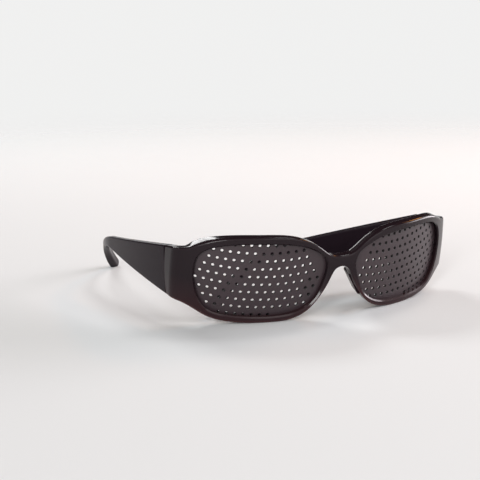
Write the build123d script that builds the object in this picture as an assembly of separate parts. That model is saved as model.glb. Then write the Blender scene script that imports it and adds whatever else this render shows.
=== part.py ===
from build123d import *
import os
from math import asin, cos, radians, sin, sqrt, tan

# Pinhole glasses, standing on a table: the left temple is open, the right one folded closed.
# Each piece is drawn in the frame of the front: X to the right, Y to the back, Z up along the
# front, with X zero in the symmetry plane and Y zero on the pinhole plates at their apex.
# At the end the glasses are leaned until rims and temple tip stand level.

# Curve of the front, measured on the front surface of the pinhole plates
base_radius = 90.25          # horizontal radius
dome_radius = 169.5          # vertical radius
apex_offset = 9.04           # apex of each side from the symmetry plane
front_lip = 2.3              # the frame's face stands this far before the plate's face
back_lip = 2.5               # and its back this far behind it
wrap_angle = 39.5            # the front turns this far before its corner
corner_radius = 7.0          # outer radius of the corner into the end piece
end_angle = 88.0             # direction of the end piece
end_length = 9.0             # straight end piece before it is cut at the hinge
end_slope_side = 64.4        # outside this its top edge falls towards the hinge
end_ramp_length = 2.3        # inside it the rim's top comes down in a short ramp
end_ramp_height = 3.0
end_ramp_round = 1.5
slab_half_height = 27.0      # the front is cut from a slab of this half height

# Openings for the plates, as the front view shows them
opening_nasal = 7.3          # nasal edge from the symmetry plane
opening_width = 55.3
opening_bottom = -14.1
opening_height = 32.7
opening_outline_shares = [
    (0.000, 0.676), (0.029, 0.431), (0.060, 0.303), (0.127, 0.159), (0.230, 0.058),
    (0.374, 0.009), (0.591, 0.000), (0.772, 0.018), (0.899, 0.083), (0.971, 0.248),
    (1.000, 0.462), (1.000, 0.676), (0.964, 0.835), (0.881, 0.927), (0.736, 0.982),
    (0.555, 1.000), (0.374, 0.992), (0.205, 0.945), (0.088, 0.862), (0.022, 0.775)]

# Outer outline of one half of the front, from the front view
front_half_width = 72.0
top_rim = 3.0
bottom_rim = 3.0
top_outline_shares = [
    (0.000, 0.735), (0.069, 0.752), (0.139, 0.838), (0.236, 0.941), (0.347, 0.991),
    (0.500, 1.000), (0.667, 0.988), (0.750, 0.965), (0.806, 0.935), (0.861, 0.889),
    (0.903, 0.856), (1.000, 0.840)]
bottom_outline_shares = [
    (0.000, 0.608), (0.042, 0.582), (0.073, 0.491), (0.105, 0.375), (0.152, 0.248),
    (0.214, 0.124), (0.295, 0.045), (0.417, 0.008), (0.556, 0.000), (0.694, 0.012),
    (0.799, 0.064), (0.875, 0.150), (0.944, 0.213), (1.000, 0.235)]
outline_overhang = 6.0       # the outline runs on past the end piece, which ends at the hinge
edge_round = 0.9             # rounding of the front's outer edges
opening_bevel = 0.5          # small bevel on the front edge of each opening
rim_search = 0.02            # an edge this near the opening's outline belongs to its wall

# Pinhole plates, snapped into a groove round each opening
plate_thickness = 1.2
groove_depth = 0.9
plate_clearance = 0.05
hole_pitch = 3.6             # between the holes of one row
row_pitch = 3.475            # between rows
hole_diameter = 1.3
hole_sides = 6
rows_above = 5               # rows above and below the longest one
rows_below = 4
holes_in_longest_row = 16
first_hole = 1.99            # first hole of the longest row, from the plate's apex
row_bow = 2.33               # the rows rise this much from their middle to their ends
left_grid_turn = 0.54        # the grids sit a little turned on the plates
right_grid_turn = 4.53
hole_margin = 0.2            # least distance of a hole's centre inside the opening

# Nose pads, moulded on the back of the rims beside the nose
pad_depth = 6.0              # behind the back of the rim
pad_length = 12.5
pad_width = 2.8
pad_side = 9.1               # middle of the pad's root, from the symmetry plane
pad_level = -3.2
pad_slant = 60.0             # the nasal edge of the rim slants like this
pad_flare = 1.6              # the pad's back edge leans this much away from the nose
pad_narrowing = 0.9          # and is this much narrower and shorter than its root
pad_root = 2.0               # depth of the root inside the rim
pad_round = 0.6

# Hinges, three knuckles on a screw
hinge_back = 28.4            # split between end piece and temple, at its middle
hinge_level = 2.4
hinge_lean = 9.85            # the hinge axis leans back at the top
pin_inset = 2.0              # hinge axis from the inner face of the temple
knuckle_radius = 1.6
knuckle_height = 2.3
knuckle_gap = 0.06
pin_radius = 0.7
pin_clearance = 0.05
front_leaf_length = 3.4
temple_leaf_length = 9.0
leaf_thickness = 1.2
leaf_sunk = 0.8              # depth of the leaf in the plastic
leaf_start = 1.9             # flat of the leaf from the hinge axis
leaf_web_overlap = 0.4       # the knuckles' webs run this far into the flat
head_radius = 1.3
head_height = 0.8
slot_width = 0.4
slot_depth = 0.35
split_gap = 0.06

# Temples, drawn in the hinge's frame: along the arm, up along the hinge axis
temple_half_height = 10.7
temple_drop = 5.9            # the top edge falls this much to the ear
temple_straight = 67.0
ear_radius = 77.5
ear_turn = 30.8
ear_length = 10.6
waist_height = 6.4           # height where the straight part ends
hook_height = 4.2
temple_splay = 2.8           # the open temple leaves the hinge this much outwards
side_radius = 640.0          # gentle inward bow of the straight part
ear_side_radius = 86.0       # stronger inward bow of the ear part
waist_thickness = 3.6
tip_thickness = 3.0
blend_share = 0.4            # share of the ear bend before the hook has its full slimness
temple_round = 0.9

fold_of_right_temple = 85.8  # from open to the folded place
overrun = 1.0                # cutters run this far past what they cut
lean_steps = 4               # the lean to stand level is found in this many steps

front_height = opening_height + top_rim + bottom_rim
front_bottom = opening_bottom - bottom_rim
temple_thickness = front_lip + back_lip
wrap_turn = radians(wrap_angle)
end_way = radians(end_angle)
corner_reach = base_radius + front_lip - corner_radius
corner_side = apex_offset + corner_reach * sin(wrap_turn)
corner_back = base_radius - corner_reach * cos(wrap_turn)
end_start_back = corner_back - corner_radius * cos(end_way)
hinge_outside = corner_side + corner_radius * sin(end_way) + (hinge_back - end_start_back) / tan(end_way)
pin_side = hinge_outside - temple_thickness - pin_inset
knuckle_pitch = knuckle_height + knuckle_gap
hinge_half_height = knuckle_pitch + knuckle_height / 2
wrap_axis = Axis((apex_offset, base_radius, 0), (0, 0, 1))
corner_axis = Axis((corner_side, corner_back, 0), (0, 0, 1))
hinge_axis = Axis((pin_side, 0, 0), (0, 0, 1))
section_plane = Plane((0, 0, 0), x_dir=(0, -1, 0), z_dir=(-1, 0, 0))
front_view = Plane((0, 0, 0), x_dir=(1, 0, 0), z_dir=(0, -1, 0))
hinge_frame = Pos(0, hinge_back, hinge_level) * Rot(-hinge_lean, 0, 0)


def dome_arc(depth):
    """Upright arc of the dome at a depth before the plates' face, as an exact conic."""
    radius = dome_radius + depth
    turn = asin(slab_half_height / radius)
    end = depth - radius * (1 - cos(turn))
    crown = depth + radius * (1 / cos(turn) - 1)
    low, high = (end, -slab_half_height), (end, slab_half_height)
    return Bezier(low, (crown, 0), high, weights=[1, cos(turn), 1])


def slab_section(before, behind):
    """Upright section of the domed slab, from a depth before to one behind the plates' face."""
    face = dome_arc(before)
    back = dome_arc(-behind)
    return section_plane * make_face(face + back + Line(face @ 0, back @ 0) + Line(face @ 1, back @ 1))


def side_slab(before, behind):
    """Right half of the curved front: flat across the bridge, wrapped, cornered, straight."""
    section = slab_section(before, behind)
    bridge = extrude(section, apex_offset, dir=(1, 0, 0))
    section = Pos(apex_offset, 0, 0) * section
    wrap = revolve(section, wrap_axis, wrap_angle)
    section = section.rotate(wrap_axis, wrap_angle)
    corner = revolve(section, corner_axis, end_angle - wrap_angle)
    section = section.rotate(corner_axis, end_angle - wrap_angle)
    end_piece = extrude(section, end_length, dir=(cos(end_way), sin(end_way), 0))
    return bridge + wrap + corner + end_piece


def outline_points(shares, width, bottom, height, start=0):
    return [(start + x * width, bottom + z * height) for x, z in shares]


def both_sides(points):
    """A half outline that starts in the symmetry plane, run from the left end to the right."""
    return [(-x, z) for x, z in reversed(points[1:])] + points


def opening_sketch(outset=0):
    """Outline of the right opening, or one that runs outside it at a distance."""
    points = outline_points(opening_outline_shares, opening_width, opening_bottom,
                            opening_height, opening_nasal)
    outline = Spline(*points, periodic=True)
    if outset:
        steps = len(points)
        places = [(outline @ (step / steps), outline % (step / steps)) for step in range(steps)]
        outline = Spline(*[(at.X + way.Y * outset, at.Y - way.X * outset) for at, way in places], periodic=True)
    return make_face(outline)


def through(sketch):
    """Prism of a front view sketch, through the whole depth of the front."""
    ahead = front_lip + overrun
    depth = ahead + hinge_back + end_length
    return extrude(Pos(0, -ahead, 0) * (front_view * sketch), depth, dir=(0, 1, 0))


def front_outline():
    half_width = front_half_width + outline_overhang
    top = both_sides(outline_points(top_outline_shares, front_half_width, front_bottom, front_height))
    low = both_sides(outline_points(bottom_outline_shares, front_half_width, front_bottom, front_height))
    ends = [[(side * half_width, top[-1][1]), (side * half_width, low[-1][1])] for side in (-1, 1)]
    edges = Spline(*top) + Polyline(top[-1], *ends[1], low[-1])
    edges += Spline(*low) + Polyline(low[0], ends[0][1], ends[0][0], top[0])
    return make_face(edges)


def split_cutter():
    """Everything behind the split between the right end piece and its temple."""
    size = hinge_back + end_length
    behind = Box(size, size, slab_half_height * 2, align=(Align.CENTER, Align.MIN, Align.CENTER))
    return hinge_frame * (Pos(hinge_outside, -split_gap / 2, 0) * behind)


def slope_cutter():
    """What the falling top edge takes off the right end piece, in line with the temple's."""
    size = hinge_back + end_length
    ramp_side = end_slope_side - end_ramp_length
    profile = make_face(Polyline((end_slope_side + size, 0), (end_slope_side, 0), (ramp_side, end_ramp_height),
                                 (ramp_side, size), (end_slope_side + size, size), close=True))
    knee = profile.vertices().sort_by_distance((end_slope_side, 0))[0]
    ramp_top = profile.vertices().sort_by_distance((ramp_side, end_ramp_height))[0]
    profile = fillet([knee, ramp_top], end_ramp_round)
    above = extrude(Plane.XZ * profile, size, both=True)
    return hinge_frame * Pos(0, 0, temple_half_height) * Rot(-temple_drop, 0, 0) * above


def plate_point(along, up):
    """Point of a plate's front face and the normal there, by lengths along the curve."""
    turn = along / base_radius
    radius = base_radius - dome_radius + sqrt(dome_radius ** 2 - up ** 2)
    point = (apex_offset + radius * sin(turn), base_radius - radius * cos(turn), up)
    return point, (sin(turn), -cos(turn), up / dome_radius)


def plate_back_at(side):
    """How far the plate's face has wrapped back at a distance from the symmetry plane."""
    return base_radius - sqrt(base_radius ** 2 - max(side - apex_offset, 0) ** 2)


def hole_places(grid_turn):
    """Places along and up the plate of the staggered holes, row by row."""
    turn = radians(grid_turn)
    half = (holes_in_longest_row - 1) / 2
    for row in range(-rows_above, rows_below + 1):
        missing = abs(row)
        for count in range(holes_in_longest_row - missing):
            across = (count + missing / 2 - half) * hole_pitch
            level = -row * row_pitch
            along = across * cos(turn) - level * sin(turn) + half * hole_pitch + first_hole
            bow = row_bow * (across / (half * hole_pitch)) ** 2
            yield along, across * sin(turn) + level * cos(turn) + bow


def pinhole_plate(grid_turn):
    """Curved plate with its staggered pinholes, for the right opening."""
    blank = through(opening_sketch(groove_depth - plate_clearance)) & side_slab(0, plate_thickness)
    within = opening_sketch(-hole_margin).faces()[0]
    hole = extrude(RegularPolygon(hole_diameter / 2, hole_sides), plate_thickness + overrun, both=True)
    holes = []
    for along, up in hole_places(grid_turn):
        point, normal = plate_point(along, up)
        if within.is_inside((point[0], point[2], 0)):
            holes.append(Plane(point, z_dir=normal) * hole)
    return blank - holes


def nose_pad():
    """Moulded pad on the back of the right rim, leaning away from the nose as it runs back."""
    view = Pos(pad_side, pad_level) * Rot(0, 0, -pad_slant)
    root = view * SlotOverall(pad_length, pad_width)
    end = Pos(pad_flare, 0) * view * SlotOverall(pad_length - pad_narrowing, pad_width - pad_narrowing)
    root = Pos(0, back_lip - pad_root, 0) * (front_view * root)
    end = Pos(0, back_lip + pad_depth, 0) * (front_view * end)
    pad = loft([root.faces()[0], end.faces()[0]])
    return fillet(pad.faces().sort_by(Axis.Y)[-1].edges(), pad_round)


def leaf_plate(direction, length):
    """Flat of a right hinge leaf, let into the inner face: to the back, or at -1 to the front."""
    align = (Align.MAX, Align.MIN if direction > 0 else Align.MAX, Align.CENTER)
    plate = Box(leaf_thickness, length, hinge_half_height * 2, align=align)
    return Pos(pin_side + pin_inset + leaf_sunk, direction * leaf_start, 0) * plate


def leaf_blank(direction, length, levels):
    """Right hinge leaf before it is bored: the flat, and a knuckle on its web at each level."""
    solid = leaf_plate(direction, length)
    align = (Align.MIN, Align.MIN if direction > 0 else Align.MAX, Align.CENTER)
    web_reach = pin_inset + leaf_sunk - leaf_thickness + leaf_web_overlap
    web = Box(web_reach, leaf_start + leaf_thickness, knuckle_height, align=align)
    for level in levels:
        solid += Pos(pin_side, 0, level) * (Cylinder(knuckle_radius, knuckle_height) + web)
    return solid


def hinge_leaf(blank):
    return blank - Pos(pin_side, 0, 0) * Cylinder(pin_radius + pin_clearance, hinge_half_height * 2 + overrun)


def hinge_screw():
    """Slotted screw that is the hinge pin, with its head on the upper knuckle."""
    shank = Pos(pin_side, 0, -hinge_half_height) * Cylinder(
        pin_radius, hinge_half_height * 2, align=(Align.CENTER, Align.CENTER, Align.MIN))
    head = Pos(pin_side, 0, hinge_half_height) * Cylinder(
        head_radius, head_height, align=(Align.CENTER, Align.CENTER, Align.MIN))
    slot = Pos(pin_side, 0, hinge_half_height + head_height) * Box(
        slot_width, head_radius * 2 + overrun, slot_depth * 2)
    return shank + head - slot


def outline_edges(solid):
    """Edges that follow the outline, without the seams of the slab and its flat ends."""
    return [edge for edge in solid.edges() if edge.geom_type not in (GeomType.CIRCLE, GeomType.LINE)]


def front_blank():
    """The curved front cut to its outline, with its edges rounded, before openings and seats."""
    half = side_slab(front_lip, back_lip)
    blank = (half + mirror(half, Plane.YZ)) & through(front_outline())
    blank = fillet(outline_edges(blank), edge_round)
    slope = slope_cutter()
    return blank - slope - mirror(slope, Plane.YZ)


def bevelled(front, opening):
    """Front with a small bevel round the face side of both openings."""
    outline = opening.edges()[0]

    def on_rim(edge):
        middle = edge @ 0.5
        before_plate = middle.Y < plate_back_at(abs(middle.X)) + plate_thickness / 2
        return before_plate and outline.distance_to(Vertex(abs(middle.X), middle.Z, 0)) < rim_search
    return chamfer([edge for edge in front.edges() if on_rim(edge)], opening_bevel)


def front_frame(leaf):
    """Front with openings, plate grooves, nose pads and hinge seats, cut at the splits."""
    opening = opening_sketch()
    right_side = through(opening)
    blank = front_blank()
    blank = bevelled(blank - right_side - mirror(right_side, Plane.YZ), opening)
    groove = through(opening_sketch(groove_depth)) & side_slab(plate_clearance, plate_thickness + plate_clearance)
    right_side = groove + split_cutter()
    right_side += hinge_frame * leaf
    pad = nose_pad()
    return blank + pad + mirror(pad, Plane.YZ) - right_side - mirror(right_side, Plane.YZ)


def temple_side():
    """Side view of the temple: straight taper from the hinge, then the down-turned ear hook."""
    fall = radians(temple_drop)
    knee = (split_gap / 2 + temple_straight * cos(fall), temple_half_height - temple_straight * sin(fall))
    centre = (knee[0] - ear_radius * sin(fall), knee[1] - ear_radius * cos(fall))

    def on_ear(radius, turn):
        return centre[0] + radius * sin(turn), centre[1] + radius * cos(turn)
    end = radians(temple_drop + ear_turn)
    inner = ear_radius - hook_height
    blend = fall + (end - fall) * blend_share
    ahead = (cos(end) * ear_length, -sin(end) * ear_length)
    tip = [(x + ahead[0], z + ahead[1]) for x, z in (on_ear(ear_radius, end), on_ear(inner, end))]
    nose = ((tip[0][0] + tip[1][0]) / 2 + cos(end) * hook_height / 2,
            (tip[0][1] + tip[1][1]) / 2 - sin(end) * hook_height / 2)
    start = (split_gap / 2, temple_half_height)
    heel = (split_gap / 2, -temple_half_height)
    waist = (knee[0] - waist_height * sin(fall), knee[1] - waist_height * cos(fall))
    edges = Line(start, knee) + ThreePointArc(knee, on_ear(ear_radius, (fall + end) / 2), on_ear(ear_radius, end))
    edges += Line(on_ear(ear_radius, end), tip[0]) + ThreePointArc(tip[0], nose, tip[1])
    edges += Line(tip[1], on_ear(inner, end))
    edges += ThreePointArc(on_ear(inner, end), on_ear(inner, (end + blend) / 2), on_ear(inner, blend))
    edges += Spline(waist, on_ear(inner, blend), tangents=[
        (waist[0] - heel[0], waist[1] - heel[1]), (cos(blend), -sin(blend))])
    edges += Line(waist, heel) + Line(heel, start)
    return make_face(edges)


def temple_plan():
    """Plan of the right temple: bowed inwards, more at the ear, and thinner to the tip."""
    def along(start, radius, first, last):
        """Point at a heading of an arc that leaves start at the first heading and bows inwards."""
        centre = (start[0] - radius * cos(first), start[1] + radius * sin(first))
        return centre[0] + radius * cos(last), centre[1] - radius * sin(last)

    def inside(point, heading, thickness):
        return point[0] - thickness * cos(heading), point[1] + thickness * sin(heading)
    ear_run = ear_radius * radians(ear_turn) + ear_length + hook_height + overrun
    h0 = radians(temple_splay)
    h2 = h0 - temple_straight / side_radius
    h1 = (h0 + h2) / 2
    h4 = h2 - ear_run / ear_side_radius
    h3 = (h2 + h4) / 2
    start = (hinge_outside, 0)
    p1 = along(start, side_radius, h0, h1)
    p2 = along(start, side_radius, h0, h2)
    p3 = along(p2, ear_side_radius, h2, h3)
    p4 = along(p2, ear_side_radius, h2, h4)
    middle_thickness = (temple_thickness + waist_thickness) / 2
    ear_thickness = (waist_thickness + tip_thickness) / 2
    inner = [inside(start, h0, temple_thickness), inside(p1, h1, middle_thickness),
             inside(p2, h2, waist_thickness), inside(p3, h3, ear_thickness), inside(p4, h4, tip_thickness)]
    edges = ThreePointArc(start, p1, p2) + ThreePointArc(p2, p3, p4) + Line(p4, inner[-1])
    edges += Spline(*inner) + Line(inner[0], start)
    return make_face(edges)


def temple(leaf):
    """Right temple, open, in the hinge's frame, with the seat of its hinge leaf."""
    height = temple_half_height + ear_radius
    side = extrude(Plane.YZ * temple_side(), hinge_outside * 2, dir=(1, 0, 0))
    plan = extrude(Pos(0, 0, -height) * temple_plan(), height * 2, dir=(0, 0, 1))
    arm = side & plan
    arm = fillet([edge for edge in arm.edges() if edge.center().Y > overrun], temple_round)
    return arm - leaf


def standing_lean(front, open_temple):
    """Lean of the front at which its rims and the tip of the open temple stand level."""
    def difference(lean):
        return (front.rotate(Axis.X, lean).bounding_box().min.Z
                - open_temple.rotate(Axis.X, lean).bounding_box().min.Z)
    before, lean = 0, hinge_lean
    for _ in range(lean_steps):
        change = difference(lean) * (lean - before) / (difference(lean) - difference(before))
        before, lean = lean, lean - change
    return lean


def glasses():
    """All pieces by name, in the frame of the front."""
    front_blank_leaf = leaf_blank(-1, front_leaf_length, (-knuckle_pitch, knuckle_pitch))
    temple_blank_leaf = leaf_blank(1, temple_leaf_length, (0,))
    front_leaf = hinge_frame * hinge_leaf(front_blank_leaf)
    temple_leaf = hinge_leaf(temple_blank_leaf)
    screw = hinge_frame * hinge_screw()
    arm = temple(temple_blank_leaf)
    plates = [pinhole_plate(turn) for turn in (left_grid_turn, right_grid_turn)]
    return {
        "front_frame": front_frame(front_blank_leaf),
        "left_pinhole_plate": mirror(plates[0], Plane.YZ),
        "right_pinhole_plate": plates[1],
        "left_temple": mirror(hinge_frame * arm, Plane.YZ),
        "right_temple": hinge_frame * arm.rotate(hinge_axis, fold_of_right_temple),
        "left_front_hinge": mirror(front_leaf, Plane.YZ),
        "right_front_hinge": front_leaf,
        "left_temple_hinge": mirror(hinge_frame * temple_leaf, Plane.YZ),
        "right_temple_hinge": hinge_frame * temple_leaf.rotate(hinge_axis, fold_of_right_temple),
        "left_hinge_screw": mirror(screw, Plane.YZ),
        "right_hinge_screw": screw,
    }


parts = glasses()
lean = standing_lean(parts["front_frame"], parts["left_temple"])
standing = Rot(lean, 0, 0)
large = [standing * parts[name] for name in ("front_frame", "left_temple", "right_temple")]
box = Compound(large).bounding_box()
standing = Pos(-box.center().X, -box.center().Y, -box.min.Z) * standing

os.makedirs("parts", exist_ok=True)
for name, part in parts.items():
    export_step(standing * part.solid(), "parts/" + name + ".step")

print("lean of the front", lean)
print("middle and base of the front's frame", (standing * Vertex(0, 0, 0)).center())
for side in (-1, 1):
    middle = standing * hinge_frame * Vertex(side * pin_side, 0, 0)
    ahead = standing * hinge_frame * Vertex(side * pin_side, 0, knuckle_height)
    print("hinge axis", middle.center(), "towards", (ahead.center() - middle.center()).normalized())
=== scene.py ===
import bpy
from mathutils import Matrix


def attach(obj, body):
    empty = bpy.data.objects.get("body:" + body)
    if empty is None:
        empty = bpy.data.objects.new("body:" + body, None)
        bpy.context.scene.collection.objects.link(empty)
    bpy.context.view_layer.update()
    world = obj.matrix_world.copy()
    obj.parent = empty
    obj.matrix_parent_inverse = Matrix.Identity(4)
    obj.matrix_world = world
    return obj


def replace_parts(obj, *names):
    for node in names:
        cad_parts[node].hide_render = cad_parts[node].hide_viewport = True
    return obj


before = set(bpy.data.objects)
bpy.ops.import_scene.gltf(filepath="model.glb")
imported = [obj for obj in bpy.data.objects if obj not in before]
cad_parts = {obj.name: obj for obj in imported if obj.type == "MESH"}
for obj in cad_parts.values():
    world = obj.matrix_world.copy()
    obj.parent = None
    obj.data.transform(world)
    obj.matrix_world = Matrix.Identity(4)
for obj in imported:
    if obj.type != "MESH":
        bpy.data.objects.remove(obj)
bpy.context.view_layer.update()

from math import cos, pi, radians, sin, tan

import bmesh
import bpy
import numpy as np
from mathutils import Matrix, Vector

# Camera. It stands in front of the glasses, to their left and a little above them, far enough
# away that the front keeps its real proportions.
camera_place = (-0.2560, -0.4877, 0.1349)
camera_ahead = Vector((0.4365, 0.8769, -0.2015)).normalized()
camera_up = Vector((0.1025, 0.1740, 0.9794))
camera_lens = 86.5
camera_right = camera_ahead.cross(camera_up).normalized()
camera_turn = Matrix((camera_right, camera_right.cross(camera_ahead), -camera_ahead)).transposed()

lens_data = bpy.data.cameras.new("camera")
lens_data.lens = camera_lens
camera = bpy.data.objects.new("camera", lens_data)
camera.matrix_world = Matrix.Translation(camera_place) @ camera_turn.to_4x4()
bpy.context.scene.collection.objects.link(camera)
bpy.context.scene.camera = camera
bpy.context.scene.view_settings.view_transform = "Standard"

# Room. A pale table that fades into a pale surround, with soft lamps round it. Two dark cards,
# behind and above, are there for the glossy black plastic to reflect, so that its top edges stay dark.
surround_color = (0.875, 0.875, 0.87)
surround_light = 0.62
table_color = (0.78, 0.79, 0.79)
table_roughness = 0.9
table_radius = 2.5
table_sides = 96
table_fade = (0.30, 0.95)
white_light = (1.0, 1.0, 1.0)
lamp_aim = (0.0, -0.04, 0.02)
lamps = {
    "lamp_behind": {"place": (0.01, 0.885, 0.705), "long_way": (1, 0, 0), "sides": (0.42, 0.25),
                    "power": 4.6, "color": white_light},
    "lamp_above": {"place": (0.48, 0.24, 0.96), "long_way": (1, 0, 0), "sides": (0.26, 0.26),
                   "power": 1.8, "color": white_light},
    "lamp_left": {"place": (-1.09, -1.22, 0.58), "long_way": (-0.35, 0.1, -0.54), "sides": (0.80, 0.26),
                  "power": 12.0, "color": white_light},
    "lamp_right": {"place": (1.38, -0.05, 0.36), "long_way": (0, 1, 0), "sides": (1.00, 0.60),
                   "power": 19.0, "color": (1.0, 0.92, 0.96)},
    "lamp_before": {"place": (0.35, -1.10, 0.95), "long_way": (1, 0, 0), "sides": (0.90, 0.90),
                    "power": 4.0, "color": white_light},
    "lamp_warm": {"place": (0.76, 0.38, 0.63), "long_way": (-0.24, 0.79, -0.17), "sides": (0.36, 0.12),
                  "power": 1.1, "color": (1.0, 0.42, 0.12)}}
cards = {
    "card_behind": {"size": (3.0, 1.1), "place": (0.25, 1.35, 0.76), "turn": (pi / 2, 0, 0)},
    "card_above": {"size": (3.0, 2.0), "place": (0.25, 0.36, 1.30), "turn": (0, 0, 0)}}
card_color = (0.02, 0.02, 0.02)

for lamp_name, lamp in lamps.items():
    lamp_data = bpy.data.lights.new(lamp_name, "AREA")
    lamp_data.shape = "RECTANGLE"
    lamp_data.size, lamp_data.size_y = lamp["sides"]
    lamp_data.energy = lamp["power"]
    lamp_data.color = lamp["color"]
    look_back = (Vector(lamp["place"]) - Vector(lamp_aim)).normalized()
    upright = look_back.cross(Vector(lamp["long_way"])).normalized()
    lamp_turn = Matrix((upright.cross(look_back), upright, look_back)).transposed()
    lamp_object = bpy.data.objects.new(lamp_name, lamp_data)
    lamp_object.matrix_world = Matrix.Translation(lamp["place"]) @ lamp_turn.to_4x4()
    bpy.context.scene.collection.objects.link(lamp_object)

surround = bpy.data.worlds.new("surround")
bpy.context.scene.world = surround
surround.use_nodes = True
nodes, links = surround.node_tree.nodes, surround.node_tree.links
nodes.clear()
path = nodes.new("ShaderNodeLightPath")
shown = path.outputs["Is Camera Ray"]
for ray in ("Is Glossy Ray", "Is Transmission Ray"):
    either = nodes.new("ShaderNodeMath")
    either.operation = "MAXIMUM"
    links.new(shown, either.inputs[0])
    links.new(path.outputs[ray], either.inputs[1])
    shown = either.outputs[0]
strength = nodes.new("ShaderNodeMapRange")
strength.inputs["To Min"].default_value = surround_light
strength.inputs["To Max"].default_value = 1.0
links.new(shown, strength.inputs["Value"])
backdrop = nodes.new("ShaderNodeBackground")
backdrop.inputs["Color"].default_value = (*surround_color, 1)
links.new(strength.outputs["Result"], backdrop.inputs["Strength"])
world_output = nodes.new("ShaderNodeOutputWorld")
links.new(backdrop.outputs[0], world_output.inputs["Surface"])

bpy.ops.mesh.primitive_circle_add(vertices=table_sides, radius=table_radius, fill_type="NGON",
                                  location=(0, 0, 0))
table = bpy.context.object
table.name = "table"
table_paint = bpy.data.materials.new("table_paint")
table.data.materials.append(table_paint)
table_paint.use_nodes = True
nodes, links = table_paint.node_tree.nodes, table_paint.node_tree.links
table_skin = nodes["Principled BSDF"]
table_skin.inputs["Base Color"].default_value = (*table_color, 1)
table_skin.inputs["Roughness"].default_value = table_roughness
place = nodes.new("ShaderNodeTexCoord")
distance = nodes.new("ShaderNodeVectorMath")
distance.operation = "LENGTH"
links.new(place.outputs["Object"], distance.inputs[0])
fade = nodes.new("ShaderNodeMapRange")
fade.interpolation_type = "SMOOTHSTEP"
fade.inputs["From Min"].default_value = table_fade[0]
fade.inputs["From Max"].default_value = table_fade[1]
fade.inputs["To Min"].default_value = 1.0
fade.inputs["To Max"].default_value = 0.0
links.new(distance.outputs["Value"], fade.inputs["Value"])
links.new(fade.outputs["Result"], table_skin.inputs["Alpha"])

card_paint = bpy.data.materials.new("card_paint")
card_paint.use_nodes = True
card_skin = card_paint.node_tree.nodes["Principled BSDF"]
card_skin.inputs["Base Color"].default_value = (*card_color, 1)
card_skin.inputs["Roughness"].default_value = 1.0
card_skin.inputs["Specular IOR Level"].default_value = 0.0
for card_name, sizes in cards.items():
    bpy.ops.mesh.primitive_plane_add(size=1, location=sizes["place"], rotation=sizes["turn"])
    card = bpy.context.object
    card.name = card_name
    card.scale = (*sizes["size"], 1)
    card.data.materials.append(card_paint)

# Front. One injection moulding of glossy black plastic: two rims and a bridge on a domed,
# wrapped shell that turns a corner at each side into a short end piece for the hinge.
base_radius = 90.25
dome_radius = 169.5
apex_offset = 9.04
front_lip = 2.3
back_lip = 2.5
wrap_turn = radians(39.5)
corner_radius = 7.0
end_turn = radians(88.0)
edge_round = 0.9
opening_round = 0.6
back_round = 0.35
groove_depth = 0.9
plate_thickness = 1.2
plate_clearance = 0.05
front_lean = radians(8.8963)
front_place = np.array([0.3883, -68.8857, 16.3604])

opening_start = (7.3, -14.1)
opening_size = (55.3, 32.7)
opening_shares = np.array([
    (0.000, 0.676), (0.029, 0.431), (0.060, 0.303), (0.127, 0.159), (0.230, 0.058),
    (0.374, 0.009), (0.591, 0.000), (0.772, 0.018), (0.899, 0.083), (0.971, 0.248),
    (1.000, 0.462), (1.000, 0.676), (0.964, 0.835), (0.881, 0.927), (0.736, 0.982),
    (0.555, 1.000), (0.374, 0.992), (0.205, 0.945), (0.088, 0.862), (0.022, 0.775)])
half_front = (72.0, 38.7)
front_bottom = -17.1
top_shares = np.array([
    (0.000, 0.735), (0.069, 0.752), (0.139, 0.838), (0.236, 0.941), (0.347, 0.991), (0.500, 1.000),
    (0.667, 0.988), (0.750, 0.965), (0.806, 0.935), (0.861, 0.889), (0.903, 0.856), (1.000, 0.840)])
bottom_shares = np.array([
    (0.000, 0.608), (0.042, 0.582), (0.073, 0.491), (0.105, 0.375), (0.152, 0.248), (0.214, 0.124),
    (0.295, 0.045), (0.417, 0.008), (0.556, 0.000), (0.694, 0.012), (0.799, 0.064), (0.875, 0.150),
    (0.944, 0.213), (1.000, 0.235)])

hinge_back = 28.4
hinge_level = 2.4
hinge_lean = radians(9.85)
split_gap = 0.06
slope_drop = radians(5.9)
slope_level = 10.7
slope_side = 64.4
ramp_length = 4.2
ramp_height = 3.0
ramp_run_on = 4
slope_blend = 1.0

line_points = 1600
opening_points = 1440
outline_joint = 58.0
rim_steps, end_steps, split_steps, bridge_steps = 90, 96, 26, 16
round_steps, face_steps, back_steps = 7, 28, 24
settle_rounds = 8
crisp_angle = 38
merge_distance = 0.000002
least_edge = 0.0000005


def standing(points):
    """Millimetres in the front's own frame to metres on the table: leaned back, then moved."""
    x, y, z = np.moveaxis(np.asarray(points, float), -1, 0)
    back, up = y * cos(front_lean) - z * sin(front_lean), y * sin(front_lean) + z * cos(front_lean)
    return (np.stack([x, back, up], -1) + front_place) / 1000


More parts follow.
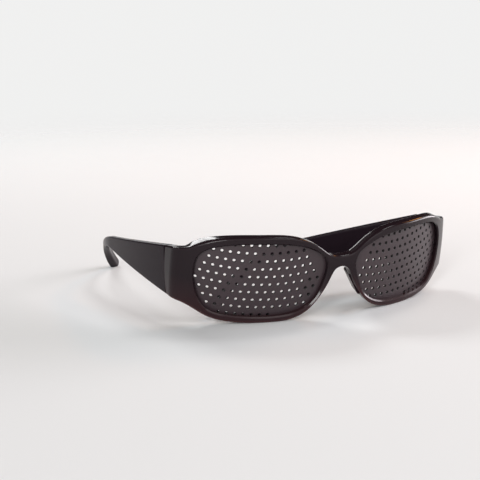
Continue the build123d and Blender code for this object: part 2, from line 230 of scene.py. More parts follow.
def smooth_line(knots, closed, count):
    """Points evenly spread by chord along the cubic through the knots whose bend is continuous:
    the bends at the knots solve one set of linear equations, cyclic if the line is closed."""
    knots = np.vstack([knots, knots[:1]]) if closed else np.asarray(knots, float)
    steps = np.linalg.norm(np.diff(knots, axis=0), axis=1)
    places = np.concatenate([[0], np.cumsum(steps)])
    slopes = np.diff(knots, axis=0) / steps[:, None]
    unknowns = len(steps) if closed else len(steps) - 1
    before = np.roll(steps, 1) if closed else steps[:-1]
    after = steps if closed else steps[1:]
    middle = np.arange(unknowns)
    system = np.zeros((unknowns, unknowns))
    system[middle, middle] = 2 * (before + after)
    if closed:
        system[middle, (middle - 1) % unknowns] += before
        system[middle, (middle + 1) % unknowns] += after
        bends = np.linalg.solve(system, 6 * (slopes - np.roll(slopes, 1, axis=0)))
        bends = np.vstack([bends, bends[:1]])
    else:
        system[middle[1:], middle[:-1]] = before[1:]
        system[middle[:-1], middle[1:]] = after[:-1]
        bends = np.pad(np.linalg.solve(system, 6 * np.diff(slopes, axis=0)), ((1, 1), (0, 0)))
    at = np.linspace(0, places[-1], count, endpoint=not closed)
    span = np.clip(np.searchsorted(places, at, side="right") - 1, 0, len(steps) - 1)
    length = steps[span][:, None]
    late = (at - places[span])[:, None] / length
    early = 1 - late
    return (early * knots[span] + late * knots[span + 1]
            + length ** 2 / 6 * ((early ** 3 - early) * bends[span] + (late ** 3 - late) * bends[span + 1]))


def dome_depth(z, lip):
    """Depth before the plates' face of a point of the dome that is a lip in front of it."""
    radius = dome_radius + lip
    return lip - radius + np.sqrt(radius ** 2 - z ** 2)


def shell_point(along, z, lip):
    """Point of the shell by its length along the curve, its height and its lip: a flat bridge,
    an arc of the base radius, a tight corner arc, then straight; all offset by the depth."""
    depth = dome_depth(z, lip)
    wrap_end = apex_offset + base_radius * wrap_turn
    corner_end = wrap_end + corner_radius * (end_turn - wrap_turn)
    wrapped = np.clip((along - apex_offset) / base_radius, 0, wrap_turn)
    turn = wrap_turn + np.clip((along - wrap_end) / corner_radius, 0, end_turn - wrap_turn)
    straight = np.maximum(along - corner_end, 0)
    reach = base_radius + depth
    corner = corner_radius - front_lip + depth
    x = (np.minimum(along, apex_offset) + reach * np.sin(wrapped)
         + corner * (np.sin(turn) - sin(wrap_turn)) + straight * cos(end_turn))
    y = (-depth + reach * (1 - np.cos(wrapped))
         + corner * (cos(wrap_turn) - np.cos(turn)) + straight * sin(end_turn))
    return np.stack(np.broadcast_arrays(x, y, z), -1)


def along_at(x, z, lip):
    """Length along the curve of the point that the front view shows at x, z."""
    reach = base_radius + dome_depth(z, lip)
    return np.where(x < apex_offset, x, apex_offset + base_radius * np.arcsin((x - apex_offset) / reach))


def split_at(z, lip):
    """Length along the curve where the leaning split cuts the end piece."""
    corner_end = apex_offset + base_radius * wrap_turn + corner_radius * (end_turn - wrap_turn)
    back = hinge_back - split_gap / 2 / cos(hinge_lean) + (z - hinge_level) * tan(hinge_lean)
    return corner_end + (back - shell_point(corner_end, z, lip)[..., 1]) / sin(end_turn)


def half_outline(shares):
    """Height over x of an outline, from its shares of the front's half, smooth across x zero."""
    points = shares * half_front + (0, front_bottom)
    both = np.vstack([points[:0:-1] * (-1, 1), points])
    return smooth_line(both, False, line_points).T


def slope_height(x, y):
    """Height of the falling top of the end piece: a plane in line with the temple's top edge,
    from which a short smooth ramp rises towards the rim and then runs on steeply."""
    share = np.clip((slope_side - x) / ramp_length, 0, None)
    rise = ramp_height * np.where(share < 1, share ** 2 * (3 - 2 * share), 1 + (share - 1) * ramp_run_on)
    fall = slope_drop + hinge_lean
    start_back = hinge_back + slope_level * sin(hinge_lean)
    start_level = hinge_level + slope_level * cos(hinge_lean)
    return start_level - (y - start_back) * tan(fall) + rise / cos(fall)


top_line = half_outline(top_shares)
bottom_line = half_outline(bottom_shares)


def edge_line(lip, line, sloped):
    """Outer edge at one lip, from the symmetry plane to the split: first by x, then by length
    along the curve, where a few rounds settle its height, which depends on its own place. A
    smooth minimum joins it to the falling top."""
    x = np.linspace(0, outline_joint, rim_steps)
    z = np.interp(x, *line)
    rim = np.stack([along_at(x, z, lip), z], -1)
    share = np.linspace(0, 1, end_steps)[1:]
    z = np.full(len(share), z[-1])
    for _ in range(settle_rounds):
        along = rim[-1, 0] + share * (split_at(z, lip) - rim[-1, 0])
        x, y, _ = np.moveaxis(shell_point(along, z, lip), -1, 0)
        z = np.interp(x, *line)
        if sloped:
            limit = slope_height(x, y)
            z = (z + limit - np.sqrt((z - limit) ** 2 + slope_blend ** 2)) / 2
    return np.vstack([rim, np.stack([along, z], -1)])


def outer_loop(lip, inset):
    """Closed edge of the right half at one lip, moved inwards by a share of each edge's
    rounding: over the top to the split, down it, back along the bottom, up the bridge."""
    parts = []
    for line, sloped, side in ((top_line, True, 1), (bottom_line, False, -1)):
        edge = edge_line(lip, line, sloped)
        way = np.gradient(edge, axis=0)
        way /= np.linalg.norm(way, axis=1)[:, None]
        normal = side * np.stack([-way[:, 1], way[:, 0]], -1)
        normal[0] = (0, side)
        edge = edge - normal * edge_round * inset
        edge[-1, 0] = split_at(edge[-1, 1], lip)
        parts.append(edge)
    top, bottom = parts
    share = np.linspace(0, 1, split_steps)[1:-1, None]
    split = top[-1] + share * (bottom[-1] - top[-1])
    split[:, 0] = split_at(split[:, 1], lip)
    share = np.linspace(0, 1, bridge_steps)[1:-1, None]
    bridge = bottom[0] + share * (top[0] - bottom[0])
    return np.vstack([top, split, bottom[::-1], bridge])


def grid_faces(rows, columns, keep=None):
    """Quads of a grid that closes on itself both ways, less those that a mask leaves out."""
    row, column = np.meshgrid(np.arange(rows), np.arange(columns), indexing="ij")
    if keep is not None:
        row, column = row[keep], column[keep]
    next_row, next_column = (row + 1) % rows, (column + 1) % columns
    corners = (row, column), (next_row, column), (next_row, next_column), (row, next_column)
    return np.stack([at * columns + to for at, to in corners], -1).reshape(-1, 4)


def piece_mesh(name, points, faces, crisp, fields=None):
    """Object from points in millimetres of the front's frame and faces: unused points go, equal
    ones merge, normals turn outwards, and edges that turn more than an angle stay crisp."""
    mesh = bpy.data.meshes.new(name)
    mesh.from_pydata(standing(points), [], [list(face) for face in faces])
    for field, values in (fields or {}).items():
        mesh.attributes.new(field, "FLOAT", "POINT").data.foreach_set("value", values)
    cleaner = bmesh.new()
    cleaner.from_mesh(mesh)
    bmesh.ops.delete(cleaner, geom=[vert for vert in cleaner.verts if not vert.link_faces], context="VERTS")
    bmesh.ops.remove_doubles(cleaner, verts=cleaner.verts, dist=merge_distance)
    bmesh.ops.dissolve_degenerate(cleaner, edges=cleaner.edges, dist=least_edge)
    bmesh.ops.recalc_face_normals(cleaner, faces=cleaner.faces)
    cleaner.to_mesh(mesh)
    cleaner.free()
    mesh.polygons.foreach_set("use_smooth", [True] * len(mesh.polygons))
    mesh.set_sharp_from_angle(angle=radians(crisp))
    piece = bpy.data.objects.new(name, mesh)
    bpy.context.scene.collection.objects.link(piece)
    return piece


opening_line = smooth_line(opening_shares * opening_size + opening_start, True, opening_points)
opening_way = np.roll(opening_line, -1, axis=0) - np.roll(opening_line, 1, axis=0)
opening_way /= np.linalg.norm(opening_way, axis=1)[:, None]
opening_normal = np.stack([opening_way[:, 1], -opening_way[:, 0]], -1)
opening_middle = np.array(opening_start) + np.array(opening_size) / 2

# Each place of the outer edge faces the place of the opening's edge at the same angle.
front_ring = outer_loop(front_lip, 1.0)
opening_along = along_at(opening_line[:, 0], opening_line[:, 1], front_lip)
opening_on_shell = np.stack([opening_along, opening_line[:, 1]], -1)
ring_angle = np.arctan2(*(front_ring - opening_middle).T[::-1]) % (2 * pi)
opening_angle = np.arctan2(*(opening_on_shell - opening_middle).T[::-1]) % (2 * pi)
turned = np.argsort(opening_angle)
start = turned[0]
opening_place = np.interp(ring_angle, opening_angle[turned], (turned - start) % opening_points) + start


def opening_loop(lip, outset):
    """The opening's edge at one lip, moved outwards, at the places that face the outer edge."""
    low = np.floor(opening_place).astype(int) % opening_points
    high = (low + 1) % opening_points
    share = (opening_place % 1)[:, None]
    edge = opening_line + opening_normal * outset
    x, z = (edge[low] * (1 - share) + edge[high] * share).T
    return np.stack([along_at(x, z, lip), z], -1)


# The rows of the front run from the plate's groove over the bevel, face, outer edge and back, and
# through the opening to the groove again.
quarter = np.linspace(0, pi / 2, round_steps)
rows = [(opening_loop(plate_clearance, groove_depth), plate_clearance),
        (opening_loop(plate_clearance, 0), plate_clearance)]
for share in (0, 0.5, 1):
    lip = front_lip - opening_round * (1 - share)
    rows.append((opening_loop(lip, opening_round * share), lip))
inner_edge = rows[-1][0]
for share in np.linspace(0, 1, face_steps)[1:-1]:
    rows.append((inner_edge + share * (front_ring - inner_edge), front_lip))
ring_start = len(rows)
for turn in quarter:
    lip = front_lip - edge_round * (1 - cos(turn))
    rows.append((outer_loop(lip, 1 - sin(turn)), lip))
for share in (0.25, 0.5, 0.75):
    lip = (front_lip - edge_round) * (1 - share) + (edge_round - back_lip) * share
    rows.append((outer_loop(lip, 0), lip))
for turn in quarter[::-1]:
    lip = edge_round * (1 - cos(turn)) - back_lip
    rows.append((outer_loop(lip, 1 - sin(turn)), lip))
ring_end = len(rows) - 1
back_ring = rows[-1][0]
back_edge = opening_loop(-back_lip, back_round)
for share in np.linspace(0, 1, back_steps)[1:-1]:
    rows.append((back_ring + share * (back_edge - back_ring), -back_lip))
for turn in quarter[::-2]:
    lip = back_round * (1 - sin(turn)) - back_lip
    rows.append((opening_loop(lip, back_round * (1 - cos(turn))), lip))
under_plate = -plate_thickness - plate_clearance
rows += [(opening_loop(under_plate, 0), under_plate), (opening_loop(under_plate, groove_depth), under_plate)]

columns = len(front_ring)
front_points = np.array([shell_point(loop[:, 0], loop[:, 1], lip) for loop, lip in rows])
keep = np.ones((len(rows), columns), bool)
keep[ring_start:ring_end, columns - bridge_steps + 1:] = False
right_faces = grid_faces(len(rows), columns, keep)
flat_points = front_points.reshape(-1, 3)
both_points = np.vstack([flat_points, flat_points * (-1, 1, 1)])
both_faces = np.vstack([right_faces, right_faces[:, ::-1] + len(flat_points)])

# Painted glow: a reddish-brown colour that stands in for light shining through the thin plastic,
# most on the outer edge, less on the face, and less and less towards the top.
painted_glow_color = (0.052, 0.020, 0.022)
glow_level, glow_fade = 4.0, 14.0
face_share, least_share = 0.4, 0.08
levels = np.array([loop[:, 1] for loop, _ in rows])
painted_glow_share = np.zeros((len(rows), columns))
painted_glow_share[:ring_start] = face_share
painted_glow_share[ring_start:ring_end + 1] = 1.0
painted_glow_share *= np.clip((glow_level - levels) / glow_fade, least_share, 1)
fields = {"painted_edge_glow": np.tile(painted_glow_share.ravel(), 2)}
front_shell = piece_mesh("front_shell", both_points, both_faces, crisp_angle, fields)

ripple_scale, grain_scale, hair_scale, tone_scale = 60.0, 2600.0, 420.0, 35.0
hair_stretch, hair_turn, hair_limit = (1.0, 1.0, 14.0), (0.3, 0.5, 0.7), 0.68
grain_height, hair_depth = 0.06, 0.03
ripple_roughness, hair_roughness = 0.06, 0.10
relief_strength = 0.5


def plastic_skin():
    """Group for moulded plastic: a faint long ripple, fine grain and hairline scratches."""
    group = bpy.data.node_groups.new("plastic_skin", "ShaderNodeTree")
    for socket, value in (("Ripple", 1.0), ("Grain", 1.0), ("Scratches", 1.0), ("Roughness", 0.2)):
        given_socket = group.interface.new_socket(socket, in_out="INPUT", socket_type="NodeSocketFloat")
        given_socket.default_value = value
    for socket in ("Roughness", "Height", "Tone"):
        group.interface.new_socket(socket, in_out="OUTPUT", socket_type="NodeSocketFloat")
    nodes, links = group.nodes, group.links
    given, made = nodes.new("NodeGroupInput"), nodes.new("NodeGroupOutput")
    place = nodes.new("ShaderNodeTexCoord")

    def noise(scale, detail, stretch=None):
        texture = nodes.new("ShaderNodeTexNoise")
        texture.inputs["Scale"].default_value = scale
        texture.inputs["Detail"].default_value = detail
        source = place.outputs["Object"]
        if stretch:
            mapping = nodes.new("ShaderNodeMapping")
            mapping.inputs["Scale"].default_value = stretch
            mapping.inputs["Rotation"].default_value = hair_turn
            links.new(source, mapping.inputs["Vector"])
            source = mapping.outputs["Vector"]
        links.new(source, texture.inputs["Vector"])
        return texture.outputs["Fac"]

    def combine(operation, a, b, c=None):
        node = nodes.new("ShaderNodeMath")
        node.operation = operation
        for socket, value in zip(node.inputs, (a, b, c)):
            if hasattr(value, "is_output"):
                links.new(value, socket)
            elif value is not None:
                socket.default_value = value
        return node.outputs[0]
    ripple = noise(ripple_scale, 1.0)
    grain = combine("MULTIPLY", noise(grain_scale, 2.0), given.outputs["Grain"])
    hairs = combine("GREATER_THAN", noise(hair_scale, 3.0, hair_stretch), hair_limit)
    hairs = combine("MULTIPLY", hairs, given.outputs["Scratches"])
    height = combine("MULTIPLY", ripple, given.outputs["Ripple"])
    height = combine("MULTIPLY_ADD", grain, grain_height, height)
    height = combine("MULTIPLY_ADD", hairs, -hair_depth, height)
    rough = combine("MULTIPLY_ADD", ripple, ripple_roughness, given.outputs["Roughness"])
    rough = combine("MULTIPLY_ADD", hairs, hair_roughness, rough)
    links.new(rough, made.inputs["Roughness"])
    links.new(height, made.inputs["Height"])
    links.new(noise(tone_scale, 3.0), made.inputs["Tone"])
    return group


skin_group = plastic_skin()


def plastic(name, colors, gloss, roughness, ripple, grain, scratches, bump):
    """Principled plastic between two close tones; tone, roughness and bump are the skin's."""
    material = bpy.data.materials.new(name)
    material.use_nodes = True
    nodes, links = material.node_tree.nodes, material.node_tree.links
    shader = nodes["Principled BSDF"]
    shader.inputs["Specular IOR Level"].default_value = gloss
    skin = nodes.new("ShaderNodeGroup")
    skin.name = "skin"
    skin.node_tree = skin_group
    given = {"Ripple": ripple, "Grain": grain, "Scratches": scratches, "Roughness": roughness}
    for socket, value in given.items():
        skin.inputs[socket].default_value = value
    tone = nodes.new("ShaderNodeMix")
    tone.name = "tone"
    tone.data_type = "RGBA"
    tone.inputs["A"].default_value = (*colors[0], 1)
    tone.inputs["B"].default_value = (*colors[1], 1)
    links.new(skin.outputs["Tone"], tone.inputs["Factor"])
    links.new(tone.outputs["Result"], shader.inputs["Base Color"])
    links.new(skin.outputs["Roughness"], shader.inputs["Roughness"])
    relief = nodes.new("ShaderNodeBump")
    relief.inputs["Strength"].default_value = relief_strength
    relief.inputs["Distance"].default_value = bump
    links.new(skin.outputs["Height"], relief.inputs["Height"])
    links.new(relief.outputs["Normal"], shader.inputs["Normal"])
    return material


def color_where(material, field, color):
    """Turns a plastic's colour to another one where a point attribute is high, and gives back
    the socket of that attribute."""
    nodes, links = material.node_tree.nodes, material.node_tree.links
    where = nodes.new("ShaderNodeAttribute")
    where.attribute_name = field
    tint = nodes.new("ShaderNodeMix")
    tint.data_type = "RGBA"
    tint.inputs["B"].default_value = (*color, 1)
    links.new(nodes["tone"].outputs["Result"], tint.inputs["A"])
    links.new(where.outputs["Fac"], tint.inputs["Factor"])
    links.new(tint.outputs["Result"], nodes["Principled BSDF"].inputs["Base Color"])
    return where.outputs["Fac"]


rim_tones = ((0.010, 0.006, 0.008), (0.015, 0.009, 0.012))
rim_black = plastic("glossy_black_rims", rim_tones, gloss=0.20, roughness=0.10,
                    ripple=1.0, grain=0.3, scratches=0.6, bump=0.00004)
# Painted glow on the rims: light through the thin plastic, given as colour.
color_where(rim_black, "painted_edge_glow", painted_glow_color)
front_shell.data.materials.append(rim_black)
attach(front_shell, "front")
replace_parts(front_shell, "front_frame")

# Nose pads. Two slim pads moulded on the back of the rims beside the nose, of the same black
# plastic, leaning apart as they run back.
pad_depth = 6.0
pad_length = 12.5
pad_width = 2.8
pad_side = 9.1
pad_level = -3.2
pad_slant = radians(60.0)
pad_flare = 1.6
pad_narrowing = 0.9
pad_root = 2.0
pad_round = 0.6
pad_closing = (0.9, 1.0)
pad_slit_share = 0.98
pad_corners, pad_rows, pad_round_steps = 48, 9, 6
pad_crisp_angle = 45
temple_tones = ((0.013, 0.008, 0.011), (0.019, 0.012, 0.017))
temple_black = plastic("glossy_black_plastic", temple_tones, gloss=0.05, roughness=0.20,
                       ripple=1.0, grain=0.3, scratches=0.6, bump=0.00004)


def nose_pad():
    """Slot outline carried back from the rim: it narrows and leans evenly, then its edge rounds
    over by a quarter circle and closes on its middle line."""
    around = np.linspace(0, 2 * pi, pad_corners, endpoint=False)
    rounding = np.linspace(0, pi / 2, pad_round_steps)[1:]
    back = np.concatenate([np.linspace(-pad_root, pad_depth - pad_round, pad_rows),
                           pad_depth - pad_round + pad_round * np.sin(rounding),
                           np.full(len(pad_closing), pad_depth)])
    inset = np.concatenate([np.zeros(pad_rows), pad_round * (1 - np.cos(rounding)), pad_closing])
    share = (back + pad_root) / (pad_depth + pad_root)
    width = pad_width - pad_narrowing * share
    straight = (pad_length - pad_width) / 2
    radius = (width / 2 - np.minimum(inset, pad_slit_share * width / 2))[:, None]
    long_way = np.sign(np.cos(around)) * straight + radius * np.cos(around)
    wide_way = radius * np.sin(around)
    x = pad_side + (pad_flare * share)[:, None] + long_way * cos(pad_slant) + wide_way * sin(pad_slant)
    z = pad_level - long_way * sin(pad_slant) + wide_way * cos(pad_slant)
    y = np.broadcast_to((back + back_lip)[:, None], x.shape)
    keep = np.ones(x.shape, bool)
    keep[-1] = False
    faces = [list(face) for face in grid_faces(*x.shape, keep)]
    ends = [list(range(pad_corners)), list(range((len(back) - 1) * pad_corners, len(back) * pad_corners))]
    return np.stack([x, y, z], -1).reshape(-1, 3), faces + ends


pad_points, pad_faces = nose_pad()
for side, name in ((-1, "left_nose_pad"), (1, "right_nose_pad")):
    pad = piece_mesh(name, pad_points * (side, 1, 1), pad_faces, pad_crisp_angle)
    pad.data.materials.append(temple_black)
    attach(pad, "front")

# Pinhole plates. Domed sheets of satin black plastic, 1.2 mm thick, snapped into a groove round
# each opening, with staggered rows of bevelled holes that rise a little towards both ends.
hole_pitch = 3.6
row_pitch = 3.475
hole_radius = 0.68
hole_edge = 0.16
rows_above, rows_below = 5, 4
longest_row = 16
first_hole = 1.99
row_bow = 2.33
hole_margin = 0.2
left_grid_turn, right_grid_turn = radians(0.54), radians(4.53)
cell_steps = 8
between_share = 0.4
spare_rows, spare_holes = 2, 3
plate_crisp_angle = 30
plate_tones = ((0.030, 0.019, 0.023), (0.043, 0.027, 0.032))
# Painted shade: the holes' walls turn near black and rougher, standing in for the shade inside the holes.
painted_hole_shade_color = (0.003, 0.002, 0.002)
hole_roughness = 0.5

satin_black = plastic("satin_black_plastic", plate_tones, gloss=0.5, roughness=0.36,
                      ripple=0.6, grain=1.2, scratches=0.3, bump=0.00003)
# Painted shade inside the holes: near-black colour and raised roughness where the mask is high.
painted_hole_shade_mask = color_where(satin_black, "painted_hole_shade_mask", painted_hole_shade_color)
nodes, links = satin_black.node_tree.nodes, satin_black.node_tree.links
matt = nodes.new("ShaderNodeMath")
matt.operation = "MULTIPLY_ADD"
matt.inputs[1].default_value = hole_roughness
links.new(painted_hole_shade_mask, matt.inputs[0])
links.new(nodes["skin"].outputs["Roughness"], matt.inputs[2])
links.new(matt.outputs[0], nodes["Principled BSDF"].inputs["Roughness"])


def plate_side(along, up):
    """How far from the symmetry plane a point of the plate's face lies."""
    radius = base_radius - dome_radius + np.sqrt(dome_radius ** 2 - up ** 2)
    return apex_offset + radius * np.sin(along / base_radius)


def beyond_edge(points, outset):
    """How far out points of the plate lie, as a share of the way from the opening's middle to
    its edge moved outwards: over one is past that edge."""
    edge = opening_line + opening_normal * outset - opening_middle
    edge_angle = np.arctan2(edge[:, 1], edge[:, 0])
    order = np.argsort(edge_angle)
    x = plate_side(points[..., 0], points[..., 1]) - opening_middle[0]
    z = points[..., 1] - opening_middle[1]
    reach = np.linalg.norm(edge, axis=1)[order]
    return np.hypot(x, z) / np.interp(np.arctan2(z, x), edge_angle[order], reach, period=2 * pi)


def hole_bricks(grid_turn):
    """Bricks of one hole each, staggered, bowed and turned as the rows are. For each brick: the
    points of its border with whole numbers that neighbours share, three rings of points at the
    hole's circle, its bevel and part of the way to the border, and whether it has a hole."""
    half = (longest_row - 1) / 2
    row, count = np.meshgrid(np.arange(-rows_above - spare_rows, rows_below + spare_rows + 1),
                             np.arange(-spare_holes, longest_row + spare_holes + 1), indexing="ij")
    row, count = row.ravel(), count.ravel()
    missing = np.abs(row)
    centre_a = np.round((count + (missing % 2) / 2 - half) * 2).astype(int)
    run, leg = np.arange(4 * cell_steps) % cell_steps, np.arange(4 * cell_steps) // cell_steps
    legs = [leg == 0, leg == 1, leg == 2]
    edge_a = np.select(legs, [run, cell_steps, cell_steps - run], 0) - cell_steps // 2
    edge_b = np.select(legs, [0, run, cell_steps], cell_steps - run) - cell_steps // 2
    key_a = centre_a[:, None] * (cell_steps // 2) + edge_a
    key_b = -row[:, None] * cell_steps + edge_b

    def on_plate(across, level):
        bow = row_bow * (across / (half * hole_pitch)) ** 2
        along = across * cos(grid_turn) - level * sin(grid_turn) + half * hole_pitch + first_hole
        return np.stack([along, across * sin(grid_turn) + level * cos(grid_turn) + bow], -1)
    centre = on_plate(centre_a * hole_pitch / 2, -row * row_pitch)
    border = on_plate(key_a * hole_pitch / cell_steps, key_b * row_pitch / cell_steps)
    way = np.stack([edge_a * hole_pitch, edge_b * row_pitch], -1).astype(float)
    way /= np.linalg.norm(way, axis=1)[:, None]
    turned_way = np.stack([way[:, 0] * cos(grid_turn) - way[:, 1] * sin(grid_turn),
                           way[:, 0] * sin(grid_turn) + way[:, 1] * cos(grid_turn)], -1)
    circle = centre[:, None] + turned_way * hole_radius
    bevel = centre[:, None] + turned_way * (hole_radius + hole_edge)
    between = bevel * (1 - between_share) + border * between_share
    first_in_row = centre_a - (-(longest_row - 1) + missing)
    in_grid = (first_in_row >= 0) & (first_in_row <= 2 * (longest_row - 1 - missing))
    in_grid &= (row >= -rows_above) & (row <= rows_below)
    has_hole = in_grid & (beyond_edge(centre, -hole_margin) < 1)
    used = (beyond_edge(border, groove_depth) < 1).any(1)
    keys = np.stack([key_a[used], key_b[used]], -1).reshape(-1, 2)
    return border[used], keys, np.stack([circle, bevel, between], 1)[used], has_hole[used]


def pinhole_sheet(name, side, grid_turn):
    """Bricks of one hole each tile the sheet. In a brick, rings run from the hole's circle to
    the brick's edge. What lies past the outline is drawn in to it; the back is the face moved
    by the thickness, and walls join both round the holes and the outline."""
    border, keys, bricks, has_hole = hole_bricks(grid_turn)
    _, first_use, shared = np.unique(keys, axis=0, return_index=True, return_inverse=True)
    border_points = border.reshape(-1, 2)[first_use]
    cells, inner_rings, around, _ = bricks.shape
    points = np.vstack([border_points, bricks.reshape(-1, 2)])
    total = len(points)
    inner_at = len(border_points) + np.arange(cells * inner_rings * around)
    inner_at = inner_at.reshape(cells, inner_rings, around)
    at_hole = inner_at[:, 0][has_hole].ravel()
    dip, inside = np.zeros(total), np.zeros(total)
    dip[at_hole] = hole_edge
    # The hole's circle points carry the mask for the painted shade of the holes' walls.
    inside[at_hole] = 1.0
    rings = np.concatenate([inner_at, shared.reshape(cells, 1, around)], 1)
    nearer, farther = rings[:, :-1], rings[:, 1:]
    quads = np.stack([nearer, farther, np.roll(farther, -1, 2), np.roll(nearer, -1, 2)], -1).reshape(-1, 4)
    caps = inner_at[:, 0][~has_hole]

    over = beyond_edge(points, groove_depth - plate_clearance)
    outside, pull = over > 1, np.maximum(over, 1)
    x = (plate_side(points[:, 0], points[:, 1]) - opening_middle[0]) / pull + opening_middle[0]
    up = (points[:, 1] - opening_middle[1]) / pull + opening_middle[1]
    along = along_at(x, up, 0)
    layers = [shell_point(along, up, -dip), shell_point(along, up, dip - plate_thickness)]
    quads = quads[~outside[quads].all(1)]
    caps = caps[~outside[caps].all(1)]
    back_to_front = caps[:, ::-1]
    edges = np.concatenate([np.stack([quads, np.roll(quads, -1, 1)], -1).reshape(-1, 2),
                            np.stack([back_to_front, np.roll(back_to_front, -1, 1)], -1).reshape(-1, 2)])
    ordered = np.sort(edges, axis=1)
    edge_keys = ordered[:, 0] * total + ordered[:, 1]
    _, back, uses = np.unique(edge_keys, return_inverse=True, return_counts=True)
    rim = edges[uses[back.ravel()] == 1]
    walls = np.stack([rim[:, 1], rim[:, 0], rim[:, 0] + total, rim[:, 1] + total], -1)
    faces = [list(face) for face in np.vstack([quads, quads[:, ::-1] + total, walls])]
    faces += [list(cap) for cap in np.vstack([caps, back_to_front + total])]
    fields = {"painted_hole_shade_mask": np.tile(inside, 2)}
    sheet = piece_mesh(name, np.vstack(layers) * (side, 1, 1), faces, plate_crisp_angle, fields)
    sheet.data.materials.append(satin_black)
    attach(sheet, "front")
    return sheet


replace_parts(pinhole_sheet("left_pinhole_sheet", -1, left_grid_turn), "left_pinhole_plate")
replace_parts(pinhole_sheet("right_pinhole_sheet", 1, right_grid_turn), "right_pinhole_plate")

# Temples. Broad side arms of glossy black plastic, each on a hinge at its front end. Seen from the
# side an arm tapers from the full height of the end piece to a slim ear hook; from above it bows in.
temple_half_height = slope_level
temple_drop = slope_drop
temple_straight = 67.0
ear_radius = 77.5
ear_turn = radians(30.8)
ear_length = 10.6
waist_height = 6.4
hook_height = 4.2
temple_splay = radians(2.8)
side_radius = 640.0
ear_side_radius = 86.0
temple_thickness = front_lip + back_lip
waist_thickness = 3.6
tip_thickness = 3.0
blend_share = 0.4
temple_round = 0.9
pin_inset = 2.0
plan_overrun = 1.0
fold_of_right_temple = radians(85.8)
corner_reach = base_radius + front_lip - corner_radius
corner_side = apex_offset + corner_reach * sin(wrap_turn)
corner_back = base_radius - corner_reach * cos(wrap_turn)
hinge_outside = (corner_side + corner_radius * sin(end_turn)
                 + (hinge_back - corner_back + corner_radius * cos(end_turn)) / tan(end_turn))
pin_side = hinge_outside - temple_thickness - pin_inset
taper_steps, bend_steps, hook_steps, tip_steps = 60, 50, 12, 14
arc_steps = 200
corner_rows, side_rows, cover_steps = 8, 5, 12


def temple_sides():
    """Upper and lower edge of the arm in the side view, station by station: straight taper,
    bend about one centre with a lower radius that eases out, straight hook, round end."""
    share = np.linspace(0, 1, taper_steps)[:, None]
    start = np.array([split_gap / 2, temple_half_height])
    heel = np.array([split_gap / 2, -temple_half_height])
    knee = start + temple_straight * np.array([cos(temple_drop), -sin(temple_drop)])
    waist = knee - waist_height * np.array([sin(temple_drop), cos(temple_drop)])
    upper, lower = start + share * (knee - start), heel + share * (waist - heel)
    middle = knee - ear_radius * np.array([sin(temple_drop), cos(temple_drop)])
    turn = temple_drop + ear_turn * np.linspace(0, 1, bend_steps)[1:, None]
    spoke = np.hstack([np.sin(turn), np.cos(turn)])
    ease = np.clip((turn - temple_drop) / (ear_turn * blend_share), 0, 1)
    way = (waist - heel) / np.linalg.norm(waist - heel)
    rise = way @ np.array([sin(temple_drop), cos(temple_drop)]) * ear_radius * ear_turn * blend_share
    gain = waist_height - hook_height
    eased = rise * (ease - 2 * ease ** 2 + ease ** 3) + gain * (3 * ease ** 2 - 2 * ease ** 3)
    upper = np.vstack([upper, middle + spoke * ear_radius])
    lower = np.vstack([lower, middle + spoke * (ear_radius - waist_height + eased)])
    ahead = np.array([cos(turn[-1, 0]), -sin(turn[-1, 0])])
    run = np.linspace(0, ear_length, hook_steps)[1:, None] * ahead
    upper, lower = np.vstack([upper, upper[-1] + run]), np.vstack([lower, lower[-1] + run])
    around = np.linspace(0, pi / 2, tip_steps)[1:, None]
    centre, half = (upper[-1] + lower[-1]) / 2, (upper[-1] - lower[-1]) / 2
    nose = centre + ahead * hook_height / 2 * np.sin(around)
    return np.vstack([upper, nose + half * np.cos(around)]), np.vstack([lower, nose - half * np.cos(around)])


def temple_plan():
    """Outer and inner face of the arm over its length: two arcs outside, and inside a smooth
    line through five places, each a named thickness within them."""
    ear_run = ear_radius * ear_turn + ear_length + hook_height + plan_overrun
    headings = [temple_splay, temple_splay - temple_straight / side_radius]
    headings.append(headings[1] - ear_run / ear_side_radius)
    arcs, start = [], np.array([hinge_outside, 0.0])
    for radius, first, last in zip((side_radius, ear_side_radius), headings, headings[1:]):
        heading = np.linspace(first, last, arc_steps)
        arc = start + radius * np.stack([np.cos(heading) - cos(first), sin(first) - np.sin(heading)], -1)
        arcs.append(np.column_stack([arc, heading]))
        start = arc[-1]
    outer = np.vstack(arcs)
    places = outer[[0, arc_steps // 2, arc_steps, arc_steps * 3 // 2, arc_steps * 2 - 1]]
    thickness = np.array([temple_thickness, (temple_thickness + waist_thickness) / 2, waist_thickness,
                          (waist_thickness + tip_thickness) / 2, tip_thickness])
    inwards = np.stack([np.cos(places[:, 2]), -np.sin(places[:, 2])], -1)
    inner = places[:, :2] - thickness[:, None] * inwards
    return outer[:, :2].T, smooth_line(inner, False, 2 * arc_steps).T


def open_grid(rows, columns):
    """Quads of a grid with four free edges."""
    keep = np.ones((rows, columns), bool)
    keep[-1] = keep[:, -1] = False
    return grid_faces(rows, columns, keep)


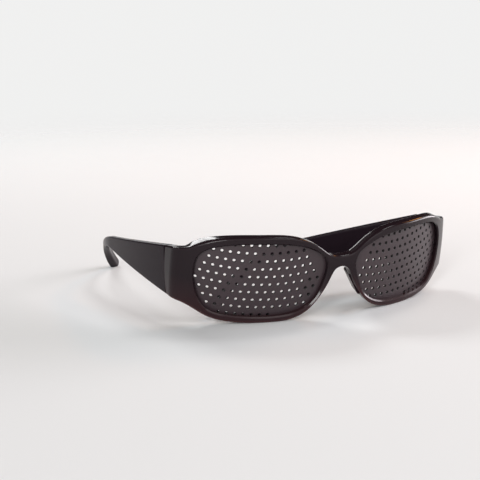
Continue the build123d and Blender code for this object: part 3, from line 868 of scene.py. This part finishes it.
def temple_skin():
    """The outline runs over the top to the tip, back along the bottom and up the front end. Rows
    carry it round the outer edge, across, and round the inner edge; strips from top to bottom
    close the two faces. Points come in the hinge's frame, side, back and up."""
    upper, lower = temple_sides()
    outer, inner = temple_plan()
    loop = np.vstack([upper, lower[-2::-1]])
    way = np.gradient(loop, axis=0)
    way /= np.linalg.norm(way, axis=1)[:, None]
    normal = np.stack([way[:, 1], -way[:, 0]], -1)
    normal[[0, -1]] = [(0, -1), (0, 1)]
    arc = np.linspace(0, pi / 2, corner_rows)
    level = np.zeros(side_rows)
    insets = np.concatenate([1 - np.sin(arc), level, 1 - np.sin(arc[::-1])]) * temple_round
    stand_out = np.concatenate([np.cos(arc), level, -np.cos(arc[::-1])]) * temple_round
    across = np.linspace(0, 1, side_rows + 2)[1:-1]
    share = np.concatenate([np.zeros(corner_rows), across, np.ones(corner_rows)])

    def raised(points, row):
        """Points of the side view at the side where a row runs."""
        outside = np.interp(points[:, 0], outer[1], outer[0]) - temple_round
        inside = np.interp(points[:, 0], inner[1], inner[0]) + temple_round
        return np.column_stack([outside + share[row] * (inside - outside) + stand_out[row], points])
    climb = np.linspace(0, 1, cover_steps + 1)[:, None]
    skin, heads = [], []
    for row, inset in enumerate(insets):
        line = loop + normal * inset
        skin.append(raised(line, row))
        heads.append(raised(line[-1] + climb * (line[0] - line[-1]), row))
    grids = [np.array(skin), np.array(heads)]
    for row in (0, len(insets) - 1):
        line = loop + normal * insets[row]
        top, bottom = line[:len(upper)], line[:len(upper) - 2:-1]
        grids.append(np.array([raised(bottom + share_up * (top - bottom), row) for share_up in climb[:, 0]]))
    points, faces, used = [], [], 0
    for grid in grids:
        faces.append(open_grid(*grid.shape[:2]) + used)
        points.append(grid.reshape(-1, 3))
        used += len(points[-1])
    return np.vstack(points), np.vstack(faces)


def temple_arm(name, side, fold, body):
    """The arm turned about the hinge axis, put in its place on the front and mirrored."""
    points, faces = temple_skin()
    x, y, z = points.T
    x, y = (pin_side + (x - pin_side) * cos(fold) - y * sin(fold), (x - pin_side) * sin(fold) + y * cos(fold))
    placed = np.stack([x * side, hinge_back + y * cos(hinge_lean) + z * sin(hinge_lean),
                       hinge_level - y * sin(hinge_lean) + z * cos(hinge_lean)], -1)
    arm = piece_mesh(name, placed, faces, crisp_angle)
    arm.data.materials.append(temple_black)
    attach(arm, body)
    return arm


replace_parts(temple_arm("left_arm_skin", -1, 0.0, "left_arm"), "left_temple")
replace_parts(temple_arm("right_arm_skin", 1, fold_of_right_temple, "right_arm"), "right_temple")

# Hinges. At each side two leaves of nickel plated steel, let into the end piece and the temple,
# meet in three knuckles, and a slotted screw runs through them as the pin.
nickel_tones = ((0.50, 0.49, 0.47), (0.68, 0.67, 0.65))
nickel_roughness = (0.22, 0.42)
brush_scale = 900.0
brush_stretch = (1.0, 1.0, 12.0)

nickel = bpy.data.materials.new("nickel_plated_steel")
nickel.use_nodes = True
nodes, links = nickel.node_tree.nodes, nickel.node_tree.links
metal = nodes["Principled BSDF"]
metal.inputs["Metallic"].default_value = 1.0
place = nodes.new("ShaderNodeTexCoord")
streaks = nodes.new("ShaderNodeMapping")
streaks.inputs["Scale"].default_value = brush_stretch
links.new(place.outputs["Object"], streaks.inputs["Vector"])
brushed = nodes.new("ShaderNodeTexNoise")
brushed.inputs["Scale"].default_value = brush_scale
links.new(streaks.outputs["Vector"], brushed.inputs["Vector"])
worn = nodes.new("ShaderNodeMix")
worn.data_type = "RGBA"
worn.inputs["A"].default_value = (*nickel_tones[0], 1)
worn.inputs["B"].default_value = (*nickel_tones[1], 1)
links.new(brushed.outputs["Fac"], worn.inputs["Factor"])
links.new(worn.outputs["Result"], metal.inputs["Base Color"])
rub = nodes.new("ShaderNodeMapRange")
rub.inputs["To Min"].default_value = nickel_roughness[0]
rub.inputs["To Max"].default_value = nickel_roughness[1]
links.new(brushed.outputs["Fac"], rub.inputs["Value"])
links.new(rub.outputs["Result"], metal.inputs["Roughness"])
for node_name in ("left_front_hinge", "right_front_hinge", "left_temple_hinge", "right_temple_hinge",
                  "left_hinge_screw", "right_hinge_screw"):
    hinge_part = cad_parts[node_name]
    hinge_part.data.materials.clear()
    hinge_part.data.materials.append(nickel)
